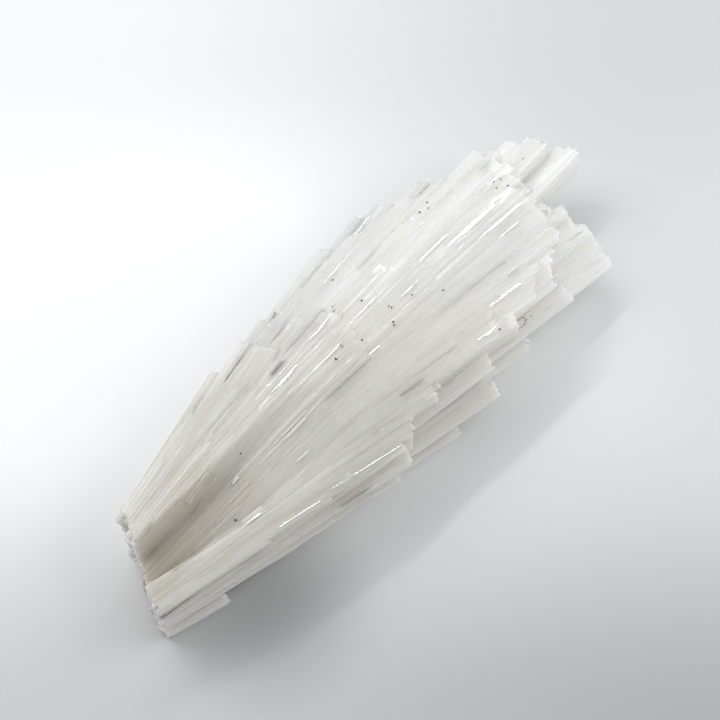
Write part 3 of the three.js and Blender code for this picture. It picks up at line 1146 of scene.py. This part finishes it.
def skin_bars(size, rng):
    """The ribs under the blades, and long thin needles over them."""
    low, high = RIB_BEARINGS
    bars = []
    bearing = low
    while bearing < high:
        pitch = rng.choice((rng.uniform(0.25, 0.5), rng.uniform(0.5, 1.3)))
        middle = bearing + pitch / 2
        width = math.radians(pitch) * GAUGE_REACH * 1.3
        drop = RIB_DROP + rng.uniform(-0.10, 0.12)
        start = root_reach(middle) + rng.uniform(-0.4, 0.5)
        end = outer_reach(middle) + rng.uniform(-1.5, 0.5)
        bars.append(rib(middle, start, end, width, RIB_DEPTH, drop, 0.0, rng))
        bearing += pitch
    for _ in range(size.skin_needles):
        bearing = rng.uniform(low, high)
        first, last = root_reach(bearing), outer_reach(bearing)
        length = rng.uniform(18, 60)
        end = min(last, first + rng.uniform(0.15, 1.05) * (last - first))
        start = max(first + 0.2, end - length)
        if end - start < SHORTEST_SKIN_NEEDLE:
            continue
        width = rng.uniform(0.4, 1.9)
        drop = RIB_DROP + SKIN_NEEDLE_DROP
        bars.append(rib(bearing, start, end, width, SKIN_NEEDLE_DEPTH, drop, rng.uniform(0.1, 0.38), rng))
    return bars


def fan_line(x, y, length):
    """Where a line along the fan starts, that ends at x and y, and the directions along it and to its left."""
    end = Vector((x, y))
    ahead = (end - Vector((APEX_X, APEX_Y))).normalized()
    return end - ahead * length, end, Vector((-ahead.y, ahead.x))


def surface_of(piece):
    """The piece's surface, for finding heights on it."""
    mesh = piece.data
    return BVHTree.FromPolygons([v.co for v in mesh.vertices], [tuple(p.vertices) for p in mesh.polygons])


def height_on(surface, x, y):
    """The height of the surface at a place of the tables."""
    place, _, _, _ = surface.ray_cast((Vector((x, y, 60)) - MIDDLE) * MM, Vector((0, 0, -1)))
    if place is None:
        raise RuntimeError(f"no crystal at {x:.1f}, {y:.1f}")
    return place.z / MM


def lie_on(surface, start, end):
    """The heights of the ends of a straight line that lies on the surface between two places."""
    shares = np.linspace(0.04, 0.96, 9)
    heights = [height_on(surface, *start.lerp(end, share)) for share in shares]
    slope, first = np.polyfit(shares, heights, 1)
    return first, first + slope


def crevice(surface, x, y, length, width):
    """A thin wedge, open upwards, that is cut out of the upper side."""
    start, end, left = fan_line(x, y, length)
    first, last = lie_on(surface, start, end)
    rings = []
    for share, size in CREVICE_STATIONS:
        middle = start.lerp(end, share)
        skin = first + (last - first) * share
        points = []
        for a, z in CREVICE_SECTION:
            aside = middle + left * (a * size * width)
            points.append(Vector((aside.x, aside.y, skin + (z * size if z < 0 else z))))
        rings.append(points)
    return bar(rings)


def milky_bundles(size):
    """The solids of all milky crystals, blade by blade, the heart first."""
    rng = random.Random(size.seed)
    bundles = [mesh_object("heart", *heart_bar()), bundle("skin", skin_bars(size, rng))]
    for index, row in enumerate(BLADES):
        for crystal in blade_crystals(row, index):
            bundles.append(bundle("bar", crystal_bars(crystal, size, index < len(UPPER_BLADES), rng)))
    return bundles


def sliver(surface, x, y, length, width, roll, rng):
    """A few thin slivers side by side on the upper side, rolled to their left."""
    start, end, left = fan_line(x, y, length)
    first, last = lie_on(surface, start, end)
    slope = math.tan(math.radians(roll))
    count = max(1, round(width / SLIVER_WIDTH))
    bars = []
    for i in range(count):
        across = ((i + 0.5) / count - 0.5) * width
        own = width / count * rng.uniform(0.55, 1.05)
        near, far = (0.0, 1.0) if i == count // 2 else (rng.uniform(0.0, 0.45), rng.uniform(0.7, 1.05))
        rings = []
        for step, size in SLIVER_STATIONS:
            share = near + (far - near) * step
            middle = start.lerp(end, share) + left * across
            top = first + (last - first) * share + SLIVER_RISE + SLIVER_LIFT * share - slope * across
            points = []
            for a, b in SLIVER_SECTION:
                aside = middle + left * (a * own * size)
                points.append(Vector((aside.x, aside.y, top + b - slope * a * own * size)))
            rings.append(points)
        bars.append(bar(rings))
    return bars


def grain(rng, size):
    """A small angular grain around the origin."""
    corners = []
    for _ in range(GRAIN_CORNERS):
        way = Vector((rng.gauss(0, 1), rng.gauss(0, 1), rng.gauss(0, 0.8))).normalized()
        corners.append(way * size * rng.uniform(0.75, 1.1))
    return hull_bar(corners)


def merged_piece(name, shapes, material):
    """A piece of the scene from several closed shapes that are not joined."""
    points, faces = [], []
    for own_points, own_faces in shapes:
        faces += [tuple(len(points) + i for i in face) for face in own_faces]
        points += own_points
    piece = mesh_object(name, points, faces)
    bpy.context.scene.collection.objects.link(piece)
    piece.data.materials.append(material)
    return piece


def add_object(name, data):
    """A new object of the scene with its data."""
    one = bpy.data.objects.new(name, data)
    bpy.context.scene.collection.objects.link(one)
    return one


def point_at(one, place, aim):
    """Puts a lamp or a camera at its place and turns it to its aim."""
    one.location = place
    one.rotation_euler = (Vector(aim) - Vector(place)).to_track_quat("-Z", "Y").to_euler()


def add_area_light(name, light_shape, power):
    """A rectangular light by its place, size and aim."""
    place, size, aim = light_shape
    light = bpy.data.lights.new(name, "AREA")
    light.shape = "RECTANGLE"
    light.size, light.size_y = size
    light.energy = power
    point_at(add_object(name, light), place, aim)


class SCOLECITE_OT_stage(bpy.types.Operator):
    """Lays the pale floor with its painted shade and light, and sets up the softbox, the room's light and the
    camera
    """

    bl_idname = "scolecite.stage"
    bl_label = "Stage"

    def execute(self, context):
        stage = context.scene.scolecite_stage
        self.add_floor(stage)
        self.add_lights(context, stage)
        self.add_camera(context)
        return {"FINISHED"}

    def add_floor(self, stage):
        mesh = bpy.data.meshes.new("floor")
        ways = ((-1, -1), (1, -1), (1, 1), (-1, 1))
        mesh.from_pydata([(x * FLOOR_REACH, y * FLOOR_REACH, FLOOR_LEVEL) for x, y in ways], [], [(0, 1, 2, 3)])
        mesh.materials.append(floor_material(stage))
        floor = add_object("floor", mesh)

    def add_lights(self, context, stage):
        world = bpy.data.worlds.new("room")
        world.use_nodes = True
        background = world.node_tree.nodes["Background"]
        background.inputs["Color"].default_value = ROOM_COLOUR
        background.inputs["Strength"].default_value = stage.room_light
        context.scene.world = world
        context.scene.view_settings.view_transform = "Standard"
        add_area_light("softbox", SOFTBOX, stage.key_power)
        add_area_light("window", WINDOW, WINDOW_POWER)
        add_area_light("side_softbox", SIDE_SOFTBOX, SIDE_POWER)

    def add_camera(self, context):
        camera = bpy.data.cameras.new("camera")
        camera.lens = CAMERA_LENS
        camera.sensor_width = CAMERA_SENSOR
        camera.clip_start = CAMERA_CLIP
        context.scene.camera = add_object("camera", camera)
        point_at(context.scene.camera, Vector(CAMERA_PLACE) * MM, Vector(CAMERA_AIM) * MM)


class SCOLECITE_OT_milky_spray(bpy.types.Operator):
    """Grows the milky spray in one solid"""

    bl_idname = "scolecite.milky_spray"
    bl_label = "Milky Spray"

    def execute(self, context):
        piece = join_solids(milky_bundles(context.scene.scolecite_spray))
        piece.name = "milky_spray"
        combine(piece, "INTERSECT", [space_above_floor()])
        surface = surface_of(piece)
        crevices = [mesh_object(f"crevice_{i}", *crevice(surface, *row)) for i, row in enumerate(CREVICES)]
        combine(piece, "DIFFERENCE", crevices)
        keep_outer_skin(piece)
        context.scene.collection.objects.link(piece)
        piece.data.name = piece.name
        piece.data.materials.clear()
        piece.data.materials.append(milky_material(context.scene.scolecite_finish))
        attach(piece, "root")
        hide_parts(SPRAY_NODE)
        return {"FINISHED"}


class SCOLECITE_OT_slivers(bpy.types.Operator):
    """Lays the smooth slivers that catch the light on the upper side"""

    bl_idname = "scolecite.slivers"
    bl_label = "Slivers"

    def execute(self, context):
        surface = surface_of(bpy.data.objects["milky_spray"])
        rng = random.Random(context.scene.scolecite_spray.seed + 3)
        bars = []
        for row in SLIVERS:
            bars += sliver(surface, *row, rng)
        piece = merged_piece("slivers", bars, sliver_material(context.scene.scolecite_finish))
        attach(piece, "root")
        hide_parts(SPRAY_NODE)
        return {"FINISHED"}


class SCOLECITE_OT_dark_grains(bpy.types.Operator):
    """Puts the dark grains on the milky spray"""

    bl_idname = "scolecite.dark_grains"
    bl_label = "Dark Grains"

    def execute(self, context):
        surface = surface_of(bpy.data.objects["milky_spray"])
        rng = random.Random(context.scene.scolecite_spray.seed + 2)
        shapes = []
        for x, y in GRAINS:
            place = Vector((x, y, height_on(surface, x, y)))
            points, faces = grain(rng, rng.uniform(*GRAIN_SIZES))
            shapes.append(([p + place for p in points], faces))
        piece = merged_piece("dark_grains", shapes, grain_material())
        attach(piece, "root")
        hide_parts(SPRAY_NODE)
        return {"FINISHED"}


class SCOLECITE_PT_panel(bpy.types.Panel):
    """Lists the operators of the scolecite spray"""

    bl_idname = "SCOLECITE_PT_panel"
    bl_label = "Raw Scolecite"
    bl_space_type = "VIEW_3D"
    bl_region_type = "UI"
    bl_category = "Scolecite"

    def draw(self, context):
        layout = self.layout
        for group, _ in GROUPS:
            box = layout.box()
            settings = getattr(context.scene, group)
            for name in settings.bl_rna.properties.keys():
                if name not in {"rna_type", "name"}:
                    box.prop(settings, name)
        for operator in OPERATORS:
            layout.operator(operator.bl_idname)


GROUPS = (
    ("scolecite_spray", ScoleciteSpray),
    ("scolecite_finish", ScoleciteFinish),
    ("scolecite_stage", ScoleciteStage),
)
OPERATORS = (
    SCOLECITE_OT_stage,
    SCOLECITE_OT_milky_spray,
    SCOLECITE_OT_slivers,
    SCOLECITE_OT_dark_grains,
)


def register():
    for name, group in GROUPS:
        bpy.utils.register_class(group)
        setattr(bpy.types.Scene, name, bpy.props.PointerProperty(type=group))
    for one in (*OPERATORS, SCOLECITE_PT_panel):
        bpy.utils.register_class(one)


def unregister():
    for one in reversed((*OPERATORS, SCOLECITE_PT_panel)):
        bpy.utils.unregister_class(one)
    for name, group in reversed(GROUPS):
        delattr(bpy.types.Scene, name)
        bpy.utils.unregister_class(group)


def main():
    register()
    bpy.ops.scolecite.stage()
    bpy.ops.scolecite.milky_spray()
    bpy.ops.scolecite.slivers()
    bpy.ops.scolecite.dark_grains()


if __name__ == "__main__":
    main()
